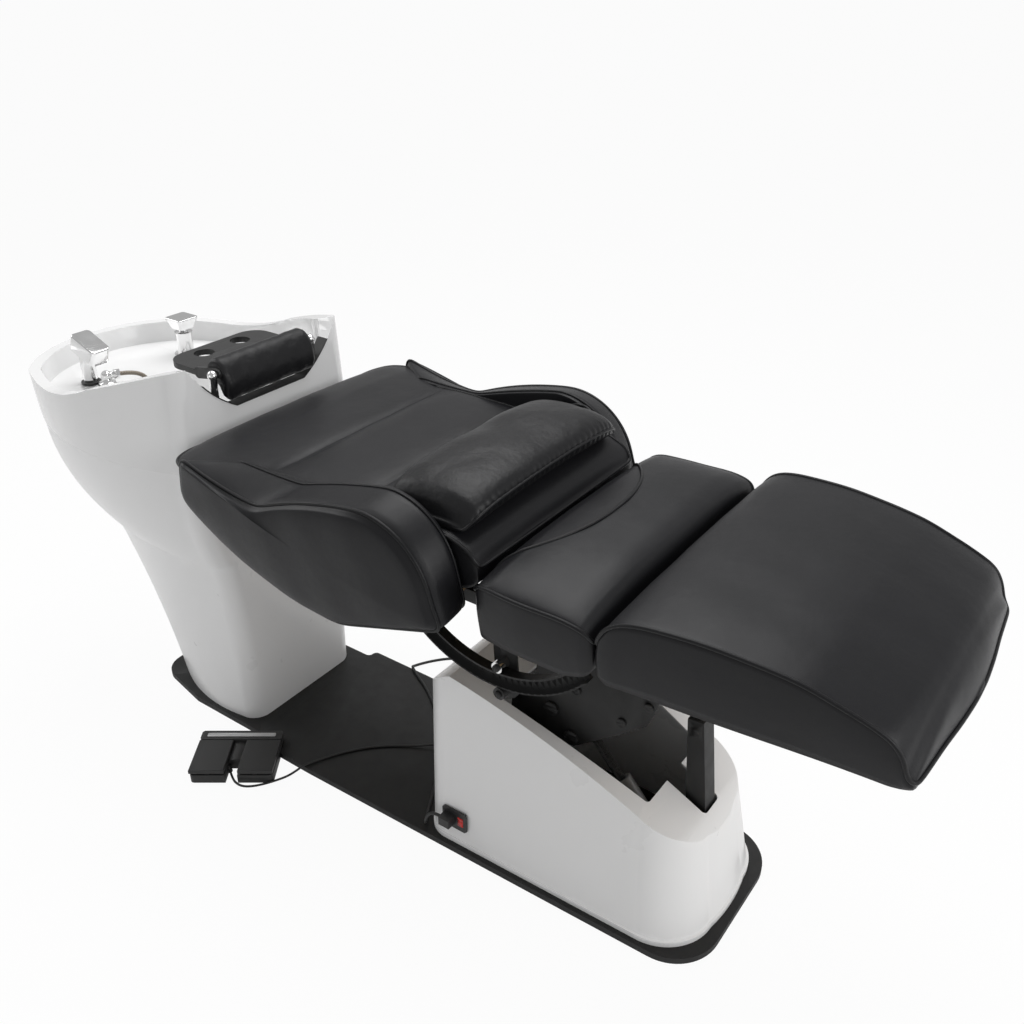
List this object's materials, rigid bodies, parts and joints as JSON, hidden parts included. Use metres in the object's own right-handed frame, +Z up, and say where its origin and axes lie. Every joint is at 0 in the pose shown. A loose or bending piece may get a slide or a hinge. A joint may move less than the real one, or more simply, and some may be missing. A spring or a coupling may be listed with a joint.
{
  "type": "hair washing bed",
  "caption": "Electric salon hair washing bed: a glazed basin with mixer and hand shower on a pedestal, and a padded couch that lifts, reclines and folds its leg rest.",
  "frame": {"origin": "the middle of the floor plate's underside, on the floor", "axes": "X from the head to the feet, Y across the bed, Z up"},
  "size_m": [2.1349, 0.7857, 0.9226],
  "materials": {
    "glazed_ceramic": "white glazed ceramic, gloss",
    "white_moulding": "white moulded shell, satin gloss",
    "black_steel": "black powder coat, satin",
    "black_leather": "black smooth leather, sewn and piped",
    "pillow_leather": "black shiny leather",
    "chrome_plate": "polished chrome",
    "black_plastic": "black moulded plastic",
    "grey_drive": "grey drive housing",
    "steel_rod": "bright steel",
    "grey_pipe": "grey waste pipe",
    "red_plastic": "red translucent rocker",
    "cord_jacket": "black cord jacket",
    "hose_braid": "braided hose",
    "board_wood": "plywood board",
    "silver_strip": "brushed silver strip",
    "dark_trim": "dark rubber trim"
  },
  "bodies": {
    "base": {"base_plate": "black_steel", "pedestal_shell": "white_moulding", "basin": "glazed_ceramic", "notch_trim": "dark_trim", "basin_drain": "chrome_plate", "drain_trap": "grey_pipe", "mixer_body": "chrome_plate", "shower_elbow": "chrome_plate", "deck_seals": "dark_trim", "shower_hose": "hose_braid", "handset_sleeve": "black_plastic", "neck_brackets": "chrome_plate", "base_cover": "white_moulding", "power_inlet": "black_plastic", "inlet_plug": "black_plastic", "cable_gland": "black_plastic", "base_frame": "black_steel", "frame_pins": "steel_rod", "control_box": "black_plastic", "pedal_housing": "black_plastic", "pedal_strip": "silver_strip", "pedal_cable": "cord_jacket", "mains_cord": "cord_jacket", "mains_coil": "cord_jacket", "mains_plug": "black_plastic"},
    "strainer": {"basin_strainer": "chrome_plate"},
    "mixer_neck": {"mixer_cartridge": "chrome_plate"},
    "mixer_cap": {"mixer_lever": "chrome_plate"},
    "handset": {"shower_handset": "chrome_plate"},
    "neck_rest": {"neck_sling": "black_leather", "head_tray": "black_plastic"},
    "switch": {"power_switch": "red_plastic"},
    "lift_arm": {"main_arm": "black_steel"},
    "lower_arm": {"second_arm": "black_steel"},
    "lift_tube": {"lift_motor": "grey_drive"},
    "lift_ram": {"lift_rod": "steel_rod"},
    "seat": {"seat_carriage": "black_steel", "carriage_bolts": "black_steel", "guide_plates": "black_steel", "seat_board": "board_wood", "seat_pad": "black_leather", "hinge_pins": "steel_rod"},
    "inner_rollers": {"upper_rollers": "chrome_plate"},
    "outer_rollers": {"lower_rollers": "black_plastic"},
    "back": {"back_frame": "black_steel", "back_board": "board_wood", "back_pad": "black_leather", "wing_near": "black_leather", "wing_far": "black_leather", "lumbar_pillow": "pillow_leather"},
    "back_tube": {"back_motor": "grey_drive"},
    "back_ram": {"back_rod": "steel_rod"},
    "leg_rest": {"leg_pad": "black_leather", "leg_board": "board_wood", "leg_bracket": "black_steel"},
    "leg_strut": {"leg_channel": "black_steel"},
    "leg_ram": {"leg_rod": "steel_rod"},
    "tread_a": {"tread_left": "black_plastic"},
    "tread_b": {"tread_right": "black_plastic"}
  },
  "joints": [
    {"name": "lift", "type": "hinge", "parent": "base", "child": "lift_arm", "pos_m": [0.19649, 0, 0.2303], "axis": [0, 1, 0], "range_deg": [0, 32]},
    {"name": "lower_arm_turn", "type": "hinge", "parent": "base", "child": "lower_arm", "pos_m": [0.24249, 0, 0.1823], "axis": [0, 1, 0], "range_deg": [0, 32]},
    {"name": "seat_level", "type": "hinge", "parent": "lift_arm", "child": "seat", "pos_m": [0.388, 0, 0.391], "axis": [0, 1, 0], "range_deg": [-32, 0]},
    {"name": "lift_drive_turn", "type": "hinge", "parent": "base", "child": "lift_tube", "pos_m": [0.612, 0, 0.066], "axis": [0, 1, 0], "range_deg": [-6.7, 0]},
    {"name": "lift_drive_stroke", "type": "slide", "parent": "lift_tube", "child": "lift_ram", "axis": [-0.662, 0, 0.7495], "range_m": [-0.1048, 0]},
    {"name": "leg_fold", "type": "hinge", "parent": "seat", "child": "leg_rest", "pos_m": [0.586, 0, 0.655], "axis": [0, 1, 0], "range_deg": [0, 55]},
    {"name": "strut_turn", "type": "hinge", "parent": "base", "child": "leg_strut", "pos_m": [0.674, 0, 0.12], "axis": [0, 1, 0], "range_deg": [0, 2.04]},
    {"name": "strut_stroke", "type": "slide", "parent": "leg_strut", "child": "leg_ram", "axis": [-0.0876, 0, 0.9962], "range_m": [-0.1532, 0]},
    {"name": "recline", "type": "hinge", "parent": "seat", "child": "back", "pos_m": [0.342, 0, 0.765], "axis": [0, 1, 0], "range_deg": [0, 40]},
    {"name": "back_drive_turn", "type": "hinge", "parent": "seat", "child": "back_tube", "pos_m": [0.52, 0, 0.54], "axis": [0, 1, 0], "range_deg": [0, 15.5]},
    {"name": "back_drive_stroke", "type": "slide", "parent": "back_tube", "child": "back_ram", "axis": [-0.988, 0, 0.1544], "range_m": [0, 0.1192]},
    {"name": "inner_roll", "type": "hinge", "parent": "seat", "child": "inner_rollers", "pos_m": [0.35684, 0, 0.55282], "axis": [0, 1, 0], "range_deg": [0, 814.6]},
    {"name": "outer_roll", "type": "hinge", "parent": "seat", "child": "outer_rollers", "pos_m": [0.36072, 0, 0.49735], "axis": [0, 1, 0], "range_deg": [-853.4, 0]},
    {"name": "neck_tilt", "type": "hinge", "parent": "base", "child": "neck_rest", "pos_m": [-0.419, 0, 0.888], "axis": [0, 1, 0], "range_deg": [-10, 12]},
    {"name": "handset_lift", "type": "slide", "parent": "base", "child": "handset", "axis": [0, 0, 1], "range_m": [0, 0.12]},
    {"name": "strainer_lift", "type": "slide", "parent": "base", "child": "strainer", "axis": [0, 0, 1], "range_m": [0, 0.05]},
    {"name": "mixer_turn", "type": "hinge", "parent": "base", "child": "mixer_neck", "pos_m": [-0.852, 0.128, 0.822], "axis": [0, 0, 1], "range_deg": [-45, 45]},
    {"name": "mixer_tip", "type": "hinge", "parent": "mixer_neck", "child": "mixer_cap", "pos_m": [-0.852, 0.128, 0.839], "axis": [0, 1, 0], "range_deg": [0, 12]},
    {"name": "switch_rock", "type": "hinge", "parent": "base", "child": "switch", "pos_m": [0.2335, -0.18825, 0.082], "axis": [1, 0, 0], "range_deg": [-8, 8]},
    {"name": "tread_left_rock", "type": "hinge", "parent": "base", "child": "tread_a", "pos_m": [-0.39296, -0.30836, 0.0248], "axis": [-0.5807, 0.8141, 0], "range_deg": [-3, 3], "stiffness_Nm_per_rad": 6},
    {"name": "tread_right_rock", "type": "hinge", "parent": "base", "child": "tread_b", "pos_m": [-0.30504, -0.24564, 0.0248], "axis": [-0.5807, 0.8141, 0], "range_deg": [-3, 3], "stiffness_Nm_per_rad": 6}
  ],
  "couplings": [
    {"joint": "lower_arm_turn", "follows": "lift", "ratio": 1},
    {"joint": "seat_level", "follows": "lift", "ratio": -1},
    {"joint": "lift_drive_turn", "follows": "lift", "ratio": -0.208},
    {"joint": "lift_drive_stroke", "follows": "lift", "m_per_rad": -0.18745},
    {"joint": "leg_fold", "follows": "lift", "ratio": 1.7188},
    {"joint": "strut_turn", "follows": "lift", "ratio": 0.0636},
    {"joint": "strut_stroke", "follows": "lift", "m_per_rad": -0.2742},
    {"joint": "back_drive_turn", "follows": "recline", "ratio": 0.3873},
    {"joint": "back_drive_stroke", "follows": "recline", "m_per_rad": 0.1705},
    {"joint": "inner_roll", "follows": "recline", "ratio": 20.364},
    {"joint": "outer_roll", "follows": "recline", "ratio": -21.333}
  ]
}
